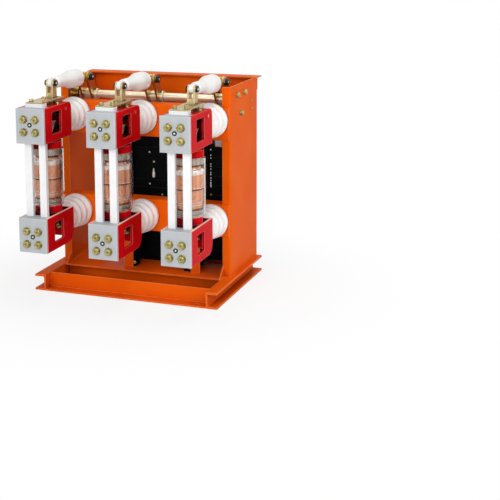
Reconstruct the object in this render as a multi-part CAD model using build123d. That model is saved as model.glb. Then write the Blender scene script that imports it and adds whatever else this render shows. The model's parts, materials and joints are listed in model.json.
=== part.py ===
from build123d import *

import os
from math import atan2, cos, degrees, hypot, radians, sin

# Indoor vacuum circuit breaker: a welded and folded steel frame on a channel base, with a spring
# mechanism inside it, a main shaft across it and three poles on post insulators in front of it.
# Sizes are millimetres, +Z is up and the floor is z = 0. While it is modelled, y is the depth
# behind the front faces of the terminals. At the end every piece is moved forward by half of the
# whole depth, so that the origin lies on the floor under the middle of the breaker.

# Overall layout
frame_width = 624.0
pole_side_margin = 62.0
frame_depth = 295.0
frame_setback = 353.0
sheet = 4.0
flat_gap = 0.3
bore_gap = 0.05

# Base of two rolled channels with an angle across each end and one under the posts
base_height = 55.0
channel_inset = 21.0
channel_flange = 39.0
channel_web = 5.0
channel_flange_thickness = 6.5
channel_root_radius = 5.0
base_overhang = 195.0
angle_leg = 48.0
angle_thickness = 5.0
anchor_inset = 41.0
anchor_radius = 6.5
anchor_from_end = 22.0

# Folded walls, crossbars, rear rail, rear panel, floor pan, struts and gussets
wall_rear_flange = 25.0
bend_radius = 5.0
crossbar_height = 112.0
crossbar_sheet = 5.0
crossbar_return = 55.0
upper_crossbar_drop = 70.0
lower_crossbar_drop = 57.0
rail_leg = 50.0
rail_thickness = 4.0
rail_side_overhang = 14.0
rear_panel_height = 175.0
rear_panel_fold = 30.0
rear_panel_side_gap = 1.5
pan_thickness = 5.0
pan_overhang = 41.0
pan_depth = 171.0
strut_width = 32.0
strut_centres = (-63.0, 184.0)
gusset_sheet = 4.0
gusset_height = 35.0
gusset_setback = 1.0

# Aluminium terminals
terminal_width = 100.6
terminal_height = 115.0
terminal_plate = 10.0
terminal_depth = 50.0
terminal_bevel = 1.5
lower_terminal_bottom = 178.0
upper_terminal_bottom = 540.0

# Red brackets
bracket_depth = 204.0
bracket_side = 8.0
bracket_floor = 8.0
bracket_rear = 10.0
upper_window = (60.0, 130.0, 24.0, 97.0)
lower_window = (61.0, 127.0, 26.0, 91.0)
window_radius = 6.0
upper_corner_radius = 22.0
lower_corner_radius = 38.0
collar_radius = 50.0
collar_height = 24.0
neck_radius = 42.0
upper_neck_height = 6.0
support_radius = 45.5
support_height = 23.0
support_rise = 2.0
lower_plate_drop = 16.0
top_plate_front = 52.0
top_slot_front = 98.0
boss_radius = 12.0
boss_setback = 77.0

# Vacuum interrupter
interrupter_depth = 118.0
envelope_radius = 55.0
envelope_wall = 3.0
envelope_lower_rounding = 9.0
envelope_upper_rounding = 4.0
lower_cap_radius = 45.5
upper_cap_radius = 51.0
cap_height = 21.0
shield_neck_radius = 40.0
shield_neck_height = 15.0
shield_end_radius = 42.5
shield_end_height = 17.0
shield_step_radius = 45.0
shield_step_height = 10.0
lower_shield_radius = 47.5
upper_shield_radius = 49.5
shield_shoulder = 8.0
shield_rounding = 2.0
shield_ring_radius = 50.5
shield_ring_height = 4.0
fixed_stem_radius = 16.0
fixed_stem_below_plate = 24.0
moving_stem_radius = 12.0

# Insulating bars and spacers
bar_width = 24.0
bar_depth = 15.0
bar_spacing = 51.0
bar_setback = 33.0
spacer_width = 62.0
spacer_depth = 30.0
spacer_height = 12.0

# Post insulators
insulator_front_radius = 43.0
insulator_rear_radius = 54.0
insulator_shed_count = 4
insulator_front_shed = 47.0
insulator_rear_shed = 58.5
insulator_rim = 6.0
insulator_shed_rounding = 3.0
upper_insulator_rise = 51.0
lower_insulator_rise = 70.0

# Bell-crank levers
lever_pivot_depth = 160.0
lever_sleeve_gap = 1.5
lever_upright = 84.0
lever_cheek = 5.0
lever_gap = 15.0
lever_width = 33.0
lever_tip_radius = 14.0
lever_hub_radius = 17.0
lever_nose_radius = 12.0
lever_web_bottom = 26.0
lever_web_top = 53.0
lever_web_setback = 2.0
lever_pin_radius = 6.0
lever_pin_length = 37.0
lever_axle_radius = 7.0
lever_axle_end = 3.5
lever_sleeve_radius = 10.5
stem_pin_radius = 5.0
stem_pin_gap = 1.2
stem_pin_travel = 3.0
stem_seat = 16.0
stem_travel_room = 16.0
stem_head_drop = 18.0
stem_head_depth = 18.0
stem_head_top = 9.0
stem_clamp_radius = 21.0
stem_clamp_bottom = 46.0
stem_clamp_height = 22.0

# Slotted cover plate over each upper bracket
cover_width = 60.0
cover_thickness = 4.0
cover_depth = 163.0
cover_slot_width = 36.0
cover_slot_front = 122.0
cover_slot_rear = 184.0
cover_leg_front = 142.0

# Main shaft, cranks and bearings
shaft_depth = 461.0
shaft_height = 644.0
shaft_radius = 13.0
crank_length = 80.0
crank_lean = 35.0
crank_plate = 7.0
crank_gap = 29.0
crank_root_radius = 24.0
crank_tip_radius = 19.0
crank_hub_radius = 19.0
crank_hub_length = 66.0
crank_pin_radius = 8.0
crank_pin_length = 66.0
bearing_flange_radius = 54.0
bearing_flange = 8.0
bearing_hub_radius = 26.0
bearing_length = 22.0
bearing_top_margin = 3.0

# Insulated pull rods
rod_eye_radius = 14.0
rod_eye_width = 14.0
rod_neck_radius = 19.5
rod_neck_start = 26.0
rod_shoulder_start = 92.0
rod_body_start = 140.0
rod_shoulder_rounding = 26.0
rod_body_radius = 31.0
rod_body_end_gap = 54.0
rod_end_rounding = 11.0
rod_side_gap = 2.0
ferrule_radius = 17.0
ferrule_width = 28.0
crank_eye_gap = 1.6

# Spring mechanism
mechanism_left = -78.0
mechanism_width = 274.0
mechanism_front = 450.0
mechanism_depth = 170.0
mechanism_bottom = 79.0
mechanism_height = 434.0
mechanism_plate = 6.0
mechanism_plate_margin = 12.0
mechanism_foot_front = 364.0
mechanism_foot_rear = 404.0
mechanism_foot_width = 38.0
mechanism_foot_inset = 20.0
mechanism_foot_shoulder = 84.0
mechanism_foot_sheet = 6.0
mechanism_skirt = 5.0
mechanism_skirt_margin = 20.0
mechanism_corner = 18.0
mechanism_ledges = (236.0, 265.0, 381.0)
mechanism_ledge = 6.0
mechanism_ledge_depth = 9.0
mechanism_edge = 14.0
mechanism_cover = 5.0
mechanism_cover_margin = 14.0
button_radius = 13.0
button_length = 7.0
button_spacing = 60.0
button_rise = 324.0
handle_boss_radius = 21.0
handle_boss_length = 14.0
handle_socket_radius = 9.0
handle_socket_depth = 40.0
handle_rise = 144.0
indicator_width = 44.0
indicator_height = 26.0
indicator_recess = 4.0
indicator_rise = 244.0
switch_width = 48.0
switch_depth = 70.0
switch_height = 399.0
switch_pitch = 33.0
switch_groove = 3.0

# Sizes that follow from the ones above
half_width = frame_width / 2
pole_pitch = half_width - pole_side_margin
wall_front_flange = pole_side_margin - rod_body_radius - rod_side_gap
frame_bottom = base_height
frame_top = shaft_height + bearing_flange_radius + bearing_top_margin
frame_rear = frame_setback + frame_depth
crossbar_front = frame_setback - crossbar_sheet
overall_depth = frame_rear + rail_thickness
web_face = half_width - channel_inset
base_front = frame_setback - base_overhang
side_inner = terminal_width / 2 - bracket_side
upper_insulator_height = upper_terminal_bottom + upper_insulator_rise
lower_insulator_height = lower_terminal_bottom + lower_insulator_rise
upper_crossbar_bottom = upper_insulator_height - upper_crossbar_drop
lower_crossbar_bottom = lower_insulator_height - lower_crossbar_drop
upper_plate_bottom = upper_terminal_bottom + terminal_height - bracket_floor
lever_pivot_height = upper_plate_bottom - lever_sleeve_gap - lever_sleeve_radius
lower_plate_top = lower_terminal_bottom + terminal_height - lower_plate_drop
interrupter_base = lower_terminal_bottom + terminal_height + support_rise + support_height
interrupter_top = upper_terminal_bottom - upper_neck_height - collar_height
lever_outer = lever_gap + 2 * lever_cheek
crank_tip = (shaft_depth - crank_length * sin(radians(crank_lean)),
             shaft_height + crank_length * cos(radians(crank_lean)))
lever_tip = (lever_pivot_depth, lever_pivot_height + lever_upright)
rod_length = hypot(crank_tip[0] - lever_tip[0], crank_tip[1] - lever_tip[1])
rod_tilt = degrees(atan2(crank_tip[1] - lever_tip[1], crank_tip[0] - lever_tip[0]))
cover_bottom = upper_terminal_bottom + terminal_height + spacer_height
poles = {"left": -pole_pitch, "middle": 0.0, "right": pole_pitch}


def block(x_span, y_span, z_span):
    """Rectangular block between two limits along each axis."""
    spans = (x_span, y_span, z_span)
    centre = [(low + high) / 2 for low, high in spans]
    return Pos(*centre) * Box(*[high - low for low, high in spans])


def both_sides(half):
    """Span from minus to plus one half-size."""
    return (-half, half)


def panel(u_span, v_span, radius=0.0):
    """Flat rectangle between two limits along each axis, with all corners rounded alike."""
    width, height = u_span[1] - u_span[0], v_span[1] - v_span[0]
    shape = RectangleRounded(width, height, radius) if radius else Rectangle(width, height)
    return Pos(sum(u_span) / 2, sum(v_span) / 2) * shape


def along_x(outline, x_span):
    """Side outline in y and z, made as thick as a span along x."""
    return Pos(x_span[0], 0, 0) * extrude(Plane.YZ * outline, x_span[1] - x_span[0])


def along_y(outline, y_span):
    """Front outline in x and z, made as deep as a span along y."""
    return Pos(0, y_span[1], 0) * extrude(Plane.XZ * outline, y_span[1] - y_span[0])


def along_z(outline, z_span):
    """Plan outline in x and y, made as tall as a span along z."""
    return Pos(0, 0, z_span[0]) * extrude(outline, z_span[1] - z_span[0])


def pin(x_span, depth, height, radius):
    """Round pin along x."""
    centre = Pos(sum(x_span) / 2, depth, height)
    return centre * Rot(0, 90, 0) * Cylinder(radius, x_span[1] - x_span[0])


def disc(x, depth, z_span, radius):
    """Upright cylinder between two heights."""
    return Pos(x, depth, sum(z_span) / 2) * Cylinder(radius, z_span[1] - z_span[0])


def strap(first, second, first_radius, second_radius):
    """Link outline: two circles joined by their outer tangents."""
    edges = (Pos(*first) * Circle(first_radius)).edges() + (Pos(*second) * Circle(second_radius)).edges()
    return make_hull(edges)


def mirrored(solid):
    """The same piece on the other side of the breaker."""
    return mirror(solid, Plane.YZ)


def rounded_corner(outline, corner, radius):
    """Round the one corner of a flat outline that lies nearest to a point."""
    nearest = outline.vertices().sort_by_distance(Vector(*corner))[0]
    return fillet(nearest, radius)


def base_channel():
    """Rolled channel under the right wall: web inwards, flanges outwards, rounded roots."""
    outer = web_face + channel_flange
    section = panel((web_face, outer), (0, base_height))
    hollow = panel((web_face + channel_web, outer + channel_root_radius),
                   (channel_flange_thickness, base_height - channel_flange_thickness), channel_root_radius)
    return along_y(section - hollow, (base_front, frame_rear))


def base_angle(front_edge, wall_side):
    """Angle across the base, its flat leg outwards; anchor holes are in the flat leg."""
    flat = (front_edge, front_edge + angle_leg)
    upright = flat[1] if wall_side > 0 else flat[0]
    upright_span = sorted((upright, upright - wall_side * angle_thickness))
    section = panel(flat, (0, angle_thickness)) + panel(upright_span, (0, base_height - 1))
    angle = along_x(section, both_sides(web_face))
    hole_depth = flat[0] + anchor_from_end if wall_side > 0 else flat[1] - anchor_from_end
    for x in both_sides(web_face - anchor_inset):
        angle -= disc(x, hole_depth, (-1, angle_thickness + 1), anchor_radius)
    return angle


def middle_angle():
    """Angle across the base under the posts, its upright leg in front."""
    upright = panel((frame_setback, frame_setback + angle_thickness), (0, base_height - pan_thickness - flat_gap))
    flat = panel((frame_setback, frame_setback + angle_leg), (0, angle_thickness))
    return along_x(upright + flat, both_sides(web_face))


def side_wall():
    """Right wall: one sheet with a front and a rear flange folded inwards."""
    outer = panel((half_width - wall_front_flange, half_width), (frame_setback, frame_rear))
    outer = rounded_corner(outer, (half_width, frame_setback), bend_radius)
    outer = rounded_corner(outer, (half_width, frame_rear), bend_radius)
    core = panel((half_width - 2 * wall_front_flange, half_width - sheet),
                 (frame_setback + sheet, frame_rear - sheet), 1.0)
    short = panel((half_width - 2 * wall_front_flange, half_width - wall_rear_flange),
                  (frame_rear - 2 * sheet, frame_rear + sheet))
    return along_z(outer - core - short, (frame_bottom, frame_top))


def crossbar(bottom):
    """Crossbar: a web in front of the posts, with both long edges folded back between them."""
    top = bottom + crossbar_height
    back = crossbar_front + crossbar_return
    section = panel((crossbar_front, back), (bottom, top))
    section = rounded_corner(section, (crossbar_front, top), bend_radius)
    section = rounded_corner(section, (crossbar_front, bottom), bend_radius)
    section -= panel((frame_setback, back + sheet), (bottom + crossbar_sheet, top - crossbar_sheet))
    bar = along_x(section, both_sides(half_width - sheet))
    post_edge = half_width - wall_front_flange - flat_gap
    for side in (-1, 1):
        post = sorted((side * post_edge, side * half_width))
        bar -= block(post, (frame_setback, back + sheet), (bottom - 1, top + 1))
    return bar


def rear_rail():
    """Angle along the top of the frame: one leg on the walls, one down behind them."""
    top = frame_top + rail_thickness
    section = panel((overall_depth - rail_leg, overall_depth), (frame_top, top))
    section += panel((frame_rear, overall_depth), (top - rail_leg, top))
    return along_x(section, both_sides(half_width + rail_side_overhang))


def rear_panel():
    """Sheet between the walls behind the shaft, with its top edge folded forward."""
    back = frame_rear - sheet
    front = back - rear_panel_fold
    top = frame_top
    section = panel((front, back), (top - rear_panel_height, top))
    section -= panel((front - 1, back - sheet), (top - rear_panel_height - 1, top - sheet))
    return along_x(section, both_sides(half_width - sheet - rear_panel_side_gap))


def floor_pan():
    """Flat pan between the channels, flush with their tops and out in front of the posts."""
    front = frame_setback - pan_overhang
    return block(both_sides(web_face), (front, front + pan_depth), (base_height - pan_thickness, base_height))


def struts():
    """Two flat bars from the floor pan up to the lower crossbar, and a gusset at each post's foot."""
    depth = (frame_setback, frame_setback + crossbar_sheet)
    height = (base_height, lower_crossbar_bottom)
    half = strut_width / 2
    bars = [block((x - half, x + half), depth, height) for x in strut_centres]
    front = frame_setback - pan_overhang + gusset_setback
    outline = make_face(Polyline((frame_setback, base_height), (front, base_height),
                                 (frame_setback, base_height + gusset_height), close=True))
    edge = half_width - wall_front_flange
    gusset = along_x(outline, (edge, edge + gusset_sheet))
    return Compound(bars + [gusset, mirrored(gusset)])


def terminal(x, bottom):
    """Aluminium terminal: a front plate with bevelled edges on a block between the bracket sides."""
    top = bottom + terminal_height
    plate = block(both_sides(terminal_width / 2), (0, terminal_plate), (bottom, top))
    plate = chamfer(plate.faces().sort_by(Axis.Y)[0].edges(), terminal_bevel)
    body = block(both_sides(side_inner - flat_gap), (terminal_plate, terminal_depth), (bottom, top))
    return Pos(x, 0, 0) * (plate + body)


def bracket_cheeks(bottom, window, rear_corner, corner_radius):
    """Both side plates of a bracket, with their windows and the rear wall between them."""
    top = bottom + terminal_height
    outline = panel((terminal_plate, bracket_depth), (bottom, top))
    outline = rounded_corner(outline, (bracket_depth, rear_corner), corner_radius)
    opening = panel(window[:2], (bottom + window[2], bottom + window[3]), window_radius)
    hollow = block(both_sides(side_inner), (0, bracket_depth - bracket_rear), (bottom - 1, top + 1))
    solid = along_x(outline, both_sides(terminal_width / 2)) - hollow
    return solid - along_x(opening, both_sides(terminal_width))


def upper_bracket(x):
    """Red upper bracket: cheeks, floor with the collar hung under it, and a slotted top plate."""
    bottom = upper_terminal_bottom
    top = bottom + terminal_height
    solid = bracket_cheeks(bottom, upper_window, top, upper_corner_radius)
    rear = bracket_depth - bracket_rear
    solid += block(both_sides(side_inner), (terminal_depth, rear), (bottom, bottom + bracket_floor))
    top_rear = bracket_depth - upper_corner_radius
    solid += block(both_sides(side_inner), (top_plate_front, top_rear), (top - bracket_floor, top))
    solid -= block(both_sides(cover_slot_width / 2 + 2), (top_slot_front, top_rear + 1),
                   (top - bracket_floor - 1, top + 1))
    solid += disc(0, interrupter_depth, (bottom - upper_neck_height, bottom), neck_radius)
    collar_top = bottom - upper_neck_height
    solid += disc(0, interrupter_depth, (collar_top - collar_height, collar_top), collar_radius)
    solid -= disc(0, interrupter_depth, (collar_top - collar_height - 1, bottom + bracket_floor + 1),
                  moving_stem_radius + 5)
    for side in (-1, 1):
        edge = side * (cover_width / 2 - boss_radius)
        solid += disc(edge, boss_setback, (top - 1, top + spacer_height), boss_radius)
    solid -= pin(both_sides(terminal_width), lever_pivot_depth, lever_pivot_height,
                 lever_axle_radius + bore_gap)
    return Pos(x, 0, 0) * solid


def lower_bracket(x):
    """Red lower bracket: cheeks, a plate let in between them, and the support that stands on it."""
    bottom = lower_terminal_bottom
    solid = bracket_cheeks(bottom, lower_window, bottom, lower_corner_radius)
    rear = bracket_depth - bracket_rear
    plate = (lower_plate_top - bracket_floor, lower_plate_top)
    solid += block(both_sides(side_inner), (terminal_depth, rear), plate)
    support = (interrupter_base - support_height, interrupter_base)
    solid += disc(0, interrupter_depth, (plate[0], support[1]), neck_radius)
    solid += disc(0, interrupter_depth, support, support_radius)
    solid -= disc(0, interrupter_depth, (plate[0] - 1, support[1] + 1), fixed_stem_radius + bore_gap)
    return Pos(x, 0, 0) * solid


def interrupter(x):
    """Metal parts of the interrupter: end caps, stepped shield with its middle ring, fixed stem."""
    bottom, top = interrupter_base, interrupter_top
    low = bottom + cap_height
    high = top - cap_height - shield_neck_height
    step = low + shield_end_height
    shield = step + shield_step_height
    middle = (bottom + top) / 2
    section = panel((0, lower_cap_radius), (bottom, low))
    section += panel((0, shield_end_radius), (low, step))
    section += panel((0, shield_step_radius), (step, shield))
    section += panel((0, lower_shield_radius), (shield, middle))
    ring = (middle - shield_ring_height / 2, middle + shield_ring_height / 2)
    section += panel((0, shield_ring_radius), ring)
    section += panel((0, upper_shield_radius), (middle, high))
    section += panel((0, shield_neck_radius), (high, top - cap_height))
    section += panel((0, upper_cap_radius), (top - cap_height, top))
    section = rounded_corner(section, (upper_shield_radius, high), shield_shoulder)
    section = rounded_corner(section, (lower_shield_radius, shield), shield_rounding)
    section = rounded_corner(section, (shield_step_radius, step), shield_rounding)
    stem = lower_plate_top - bracket_floor - fixed_stem_below_plate
    section += panel((0, fixed_stem_radius), (stem, bottom))
    bore_bottom = top - stem_seat - stem_travel_room
    section -= panel((0, moving_stem_radius + 1), (bore_bottom, top + 1))
    return Pos(x, interrupter_depth, 0) * revolve(Plane.XZ * section, Axis.Z)


def glass_envelope(x):
    """Glass envelope round the interrupter, drawn in to the lower cap and open at the upper one."""
    bottom, top = interrupter_base + flat_gap, interrupter_top - flat_gap
    section = panel((0, envelope_radius), (bottom, top))
    section = rounded_corner(section, (envelope_radius, bottom), envelope_lower_rounding)
    section = rounded_corner(section, (envelope_radius, top), envelope_upper_rounding)
    inside = panel((0, envelope_radius - envelope_wall), (bottom + envelope_wall, top + 1))
    inside = rounded_corner(inside, (envelope_radius - envelope_wall, bottom + envelope_wall),
                            envelope_lower_rounding - envelope_wall)
    section -= inside
    section -= panel((0, lower_cap_radius + flat_gap), (bottom - 1, bottom + envelope_wall + 1))
    return Pos(x, interrupter_depth, 0) * revolve(Plane.XZ * section, Axis.Z)


def insulating_bars(x):
    """Two upright bars between the terminals, and the spacer under the cover plate."""
    low, high = lower_terminal_bottom + terminal_height, upper_terminal_bottom
    depth = (bar_setback, bar_setback + bar_depth)
    half = bar_width / 2
    bars = [block((x + c - half, x + c + half), depth, (low, high)) for c in both_sides(bar_spacing / 2)]
    top = upper_terminal_bottom + terminal_height
    spacer = block((x - spacer_width / 2, x + spacer_width / 2), (bar_setback, bar_setback + spacer_depth),
                   (top, top + spacer_height))
    return Compound(bars + [spacer])


def post_insulator(x, height):
    """Ribbed cone from the bracket's rear wall to the crossbar, turned about its own axis."""
    front, rear = bracket_depth, crossbar_front
    length = rear - front
    cone = make_face(Polyline((0, front), (insulator_front_radius, front), (insulator_rear_radius, rear),
                              (0, rear), close=True))
    solid = revolve(cone, Axis.Y)
    pitch = (length - 2 * insulator_rim) / insulator_shed_count
    for n in range(insulator_shed_count):
        share = n / (insulator_shed_count - 1)
        radius = insulator_front_shed + share * (insulator_rear_shed - insulator_front_shed)
        start = front + insulator_rim + n * pitch
        shed = make_face(Polyline((0, start), (radius - 5, start + pitch * 0.2), (radius, start + pitch * 0.5),
                                  (radius, start + pitch * 0.8), (0, start + pitch * 0.95), close=True))
        for corner in ((radius, start + pitch * 0.5), (radius, start + pitch * 0.8)):
            shed = rounded_corner(shed, corner, insulator_shed_rounding)
        solid += revolve(shed, Axis.Y)
    return Pos(x, 0, height) * solid


def cover_plate(x):
    """Slotted plate over the bracket, with a leg folded down on each side at its rear."""
    front, rear = bar_setback, bar_setback + cover_depth
    top = cover_bottom + cover_thickness
    half = cover_width / 2
    solid = block(both_sides(half), (front, rear), (cover_bottom, top))
    solid -= block(both_sides(cover_slot_width / 2), (cover_slot_front, cover_slot_rear),
                   (cover_bottom - 1, top + 1))
    leg_rear = bracket_depth - upper_corner_radius
    for side in (-1, 1):
        leg = sorted((side * half, side * (half - cover_thickness)))
        solid += block(leg, (cover_leg_front, leg_rear), (cover_bottom - spacer_height, cover_bottom))
    return Pos(x, 0, 0) * solid


def bell_crank(x):
    """Bell crank: two cheeks, the web between them, the clevis pin and the axle."""
    pivot = (lever_pivot_depth, lever_pivot_height)
    nose = (interrupter_depth, lever_pivot_height)
    outline = strap(pivot, lever_tip, lever_hub_radius, lever_tip_radius)
    outline += strap(pivot, nose, lever_hub_radius, lever_nose_radius)
    slot = strap((nose[0] - stem_pin_travel, nose[1]), (nose[0] + stem_pin_travel, nose[1]),
                 stem_pin_radius + stem_pin_gap, stem_pin_radius + stem_pin_gap)
    outline -= slot
    inner, outer = lever_gap / 2, lever_outer / 2
    solid = along_x(outline, both_sides(outer))
    solid -= block(both_sides(inner), (0, frame_rear), (0, 2 * frame_top))
    front = lever_pivot_depth - lever_width / 2 + lever_web_setback
    solid += block(both_sides(inner), (front, front + lever_cheek),
                   (lever_pivot_height + lever_web_bottom, lever_pivot_height + lever_web_top))
    solid += pin(both_sides(lever_pin_length / 2), lever_tip[0], lever_tip[1], lever_pin_radius)
    solid += pin(both_sides(terminal_width / 2 + lever_axle_end), pivot[0], pivot[1], lever_axle_radius)
    solid += pin(both_sides(side_inner - 2), pivot[0], pivot[1], lever_sleeve_radius)
    return Pos(x, 0, 0) * solid


def moving_stem(x):
    """Moving stem of the interrupter with its clamp, and the cross pin in the lever's slots."""
    head = lever_pivot_height - stem_head_drop
    clamp = lever_pivot_height - stem_clamp_bottom
    half = lever_gap / 2 - 1
    depth = (interrupter_depth - stem_head_depth / 2, interrupter_depth + stem_head_depth / 2)
    solid = disc(0, interrupter_depth, (interrupter_top - stem_seat, head), moving_stem_radius)
    solid += block(both_sides(half), depth, (head, lever_pivot_height + stem_head_top))
    solid += disc(0, interrupter_depth, (clamp, clamp + stem_clamp_height), stem_clamp_radius)
    solid += pin(both_sides(lever_outer / 2 + 2), interrupter_depth, lever_pivot_height, stem_pin_radius)
    return Pos(x, 0, 0) * solid


def pull_rod(x):
    """White insulated rod, bottle-shaped, with an eye in the clevis and a ferrule at the crank."""
    length = rod_length
    body_end = length - rod_body_end_gap
    outline = make_face(Polyline(
        (0, rod_neck_start - 3), (rod_neck_radius - 4, rod_neck_start - 3), (rod_neck_radius, rod_neck_start + 2),
        (rod_neck_radius + 1, rod_shoulder_start), (rod_body_radius, rod_body_start),
        (rod_body_radius, body_end), (0, body_end), close=True))
    outline = rounded_corner(outline, (rod_body_radius, body_end), rod_end_rounding)
    outline = rounded_corner(outline, (rod_body_radius, rod_body_start), rod_shoulder_rounding)
    outline = rounded_corner(outline, (rod_neck_radius + 1, rod_shoulder_start), rod_shoulder_rounding)
    solid = revolve(outline, Axis.Y)
    half_eye = rod_eye_width / 2
    eye = Pos(0, 0, 0) * strap((0, 0), (rod_neck_start, 0), rod_eye_radius, rod_eye_radius)
    solid += along_x(eye, both_sides(half_eye))
    ferrule = strap((body_end - 5, 0), (length, 0), ferrule_radius - 2, ferrule_radius)
    solid += along_x(ferrule, both_sides(ferrule_width / 2))
    solid -= pin(both_sides(frame_width), 0, 0, lever_pin_radius + bore_gap)
    solid -= pin(both_sides(frame_width), length, 0, crank_pin_radius + crank_eye_gap)
    return Pos(x, lever_tip[0], lever_tip[1]) * Rot(rod_tilt, 0, 0) * solid


def main_shaft():
    """Main shaft with a hub, two crank plates and a crank pin at each pole."""
    end = half_width - sheet - 2
    solid = pin(both_sides(end), shaft_depth, shaft_height, shaft_radius)
    centre = (shaft_depth, shaft_height)
    outline = strap(centre, crank_tip, crank_root_radius, crank_tip_radius)
    for x in poles.values():
        hub = crank_hub_length / 2
        solid += pin((x - hub, x + hub), *centre, crank_hub_radius)
        for side in (-1, 1):
            inner = x + side * crank_gap / 2
            solid += along_x(outline, sorted((inner, inner + side * crank_plate)))
        half_pin = crank_pin_length / 2
        solid += pin((x - half_pin, x + half_pin), *crank_tip, crank_pin_radius)
    return solid


def shaft_bearings():
    """Flanged bearing on the inside of each wall."""
    wall = half_width - sheet
    solid = pin((wall - bearing_flange, wall), shaft_depth, shaft_height, bearing_flange_radius)
    solid += pin((wall - bearing_length, wall), shaft_depth, shaft_height, bearing_hub_radius)
    solid -= pin((wall - bearing_length - 1, wall - 1), shaft_depth, shaft_height, shaft_radius + bore_gap)
    return Compound([solid, mirrored(solid)])


def mechanism_body():
    """Closed spring mechanism: ledges towards the poles, cover with buttons towards the operator."""
    left, right = mechanism_left, mechanism_left + mechanism_width
    back = mechanism_front + mechanism_depth
    low, high = mechanism_bottom, mechanism_bottom + mechanism_height
    core_front = mechanism_front + mechanism_ledge_depth
    section = panel((core_front, back), (low, high))
    section = rounded_corner(section, (core_front, high), mechanism_edge)
    section = rounded_corner(section, (back, high), mechanism_edge)
    for rise in mechanism_ledges:
        section += panel((mechanism_front, core_front + 1), (low + rise, low + rise + mechanism_ledge))
    solid = along_x(section, (left, right))
    solid += block((left, right - mechanism_skirt_margin), (core_front, core_front + mechanism_skirt),
                   (base_height, low + 1))
    margin = mechanism_cover_margin
    cover = panel((left + margin, right - margin), (low + margin, high - 2 * margin), margin / 2)
    solid += along_y(cover, (back - 1, back + mechanism_cover))
    middle = (left + right) / 2
    face = back + mechanism_cover
    for x in both_sides(button_spacing / 2):
        button = Pos(middle + x, low + button_rise) * Circle(button_radius)
        solid += along_y(button, (face - 1, face + button_length))
    handle = Pos(middle, low + handle_rise)
    solid += along_y(handle * Circle(handle_boss_radius), (face - 1, face + handle_boss_length))
    socket = handle * RegularPolygon(handle_socket_radius, 6)
    solid -= along_y(socket, (face + handle_boss_length - handle_socket_depth, face + handle_boss_length + 1))
    half = indicator_width / 2
    window = panel((middle - half, middle + half),
                   (low + indicator_rise, low + indicator_rise + indicator_height), indicator_recess)
    return solid - along_y(window, (face - indicator_recess, face + 1))


def mechanism_plates():
    """Side plates of the mechanism, and its two legs bolted down on the floor pan."""
    top = mechanism_bottom + mechanism_height + mechanism_plate_margin
    rear = mechanism_front + mechanism_depth + mechanism_plate_margin
    front = mechanism_front - mechanism_plate_margin
    outline = panel((front, rear), (mechanism_bottom, top))
    shoulder = mechanism_bottom + mechanism_foot_shoulder
    leg = mechanism_foot_rear - mechanism_foot_sheet
    core_front = mechanism_front + mechanism_ledge_depth
    gusset = make_face(Polyline((leg, base_height), (mechanism_foot_rear, base_height),
                                (core_front, mechanism_bottom), (core_front, shoulder), (leg, shoulder),
                                close=True))
    for depth in (front, rear):
        outline = rounded_corner(outline, (depth, top), mechanism_corner)
    left = mechanism_left
    right = mechanism_left + mechanism_width
    pieces = []
    for x, side in ((left, -1), (right, 1)):
        pieces.append(along_x(outline, sorted((x, x + side * mechanism_plate))))
    for x, side in ((left, -1), (right - mechanism_foot_inset, 1)):
        foot = along_x(gusset, sorted((x, x - side * mechanism_plate)))
        tab = sorted((x, x - side * mechanism_foot_width))
        foot += block(tab, (leg, mechanism_foot_rear), (base_height, shoulder))
        foot += block(tab, (mechanism_foot_front, leg), (base_height, base_height + mechanism_foot_sheet))
        pieces.append(foot)
    return Compound(pieces)


def auxiliary_switch():
    """Tall stack of switch wafers on the right side plate of the mechanism, grooved between them."""
    left = mechanism_left + mechanism_width + mechanism_plate
    right = left + switch_width
    front, back = mechanism_front, mechanism_front + switch_depth
    bottom = mechanism_bottom
    solid = block((left, right), (front, back), (bottom, bottom + switch_height))
    wafers = int(switch_height // switch_pitch)
    for n in range(1, wafers + 1):
        height = bottom + n * switch_pitch
        core = block((left, right - switch_groove), (front + switch_groove, back - switch_groove),
                     (height, height + switch_groove))
        solid -= block((left, right + 1), (front - 1, back + 1), (height, height + switch_groove)) - core
    return solid


def breaker():
    """All pieces by name."""
    pieces = {"base_channel_right": base_channel()}
    pieces["base_channel_left"] = mirrored(pieces["base_channel_right"])
    pieces["base_angles"] = Compound([base_angle(base_front, 1), base_angle(frame_rear - angle_leg, -1),
                                      middle_angle()])
    pieces["side_wall_right"] = side_wall()
    pieces["side_wall_left"] = mirrored(pieces["side_wall_right"])
    pieces["upper_crossbar"] = crossbar(upper_crossbar_bottom)
    pieces["lower_crossbar"] = crossbar(lower_crossbar_bottom)
    pieces["rear_rail"] = rear_rail()
    pieces["rear_panel"] = rear_panel()
    pieces["floor_pan"] = floor_pan()
    pieces["floor_struts"] = struts()
    pieces["main_shaft"] = main_shaft()
    pieces["shaft_bearings"] = shaft_bearings()
    pieces["mechanism_body"] = mechanism_body()
    pieces["mechanism_plates"] = mechanism_plates()
    pieces["auxiliary_switch"] = auxiliary_switch()
    pieces["cover_plates"] = Compound([cover_plate(x) for x in poles.values()])
    for side, x in poles.items():
        pieces[f"{side}_terminals"] = Compound([terminal(x, lower_terminal_bottom),
                                                terminal(x, upper_terminal_bottom)])
        pieces[f"{side}_upper_bracket"] = upper_bracket(x)
        pieces[f"{side}_lower_bracket"] = lower_bracket(x)
        pieces[f"{side}_insulating_bars"] = insulating_bars(x)
        pieces[f"{side}_post_insulators"] = Compound([post_insulator(x, upper_insulator_height),
                                                      post_insulator(x, lower_insulator_height)])
        pieces[f"{side}_interrupter"] = interrupter(x)
        pieces[f"{side}_glass_envelope"] = glass_envelope(x)
        pieces[f"{side}_moving_stem"] = moving_stem(x)
        pieces[f"{side}_bell_crank"] = bell_crank(x)
        pieces[f"{side}_pull_rod"] = pull_rod(x)
    return pieces


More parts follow.
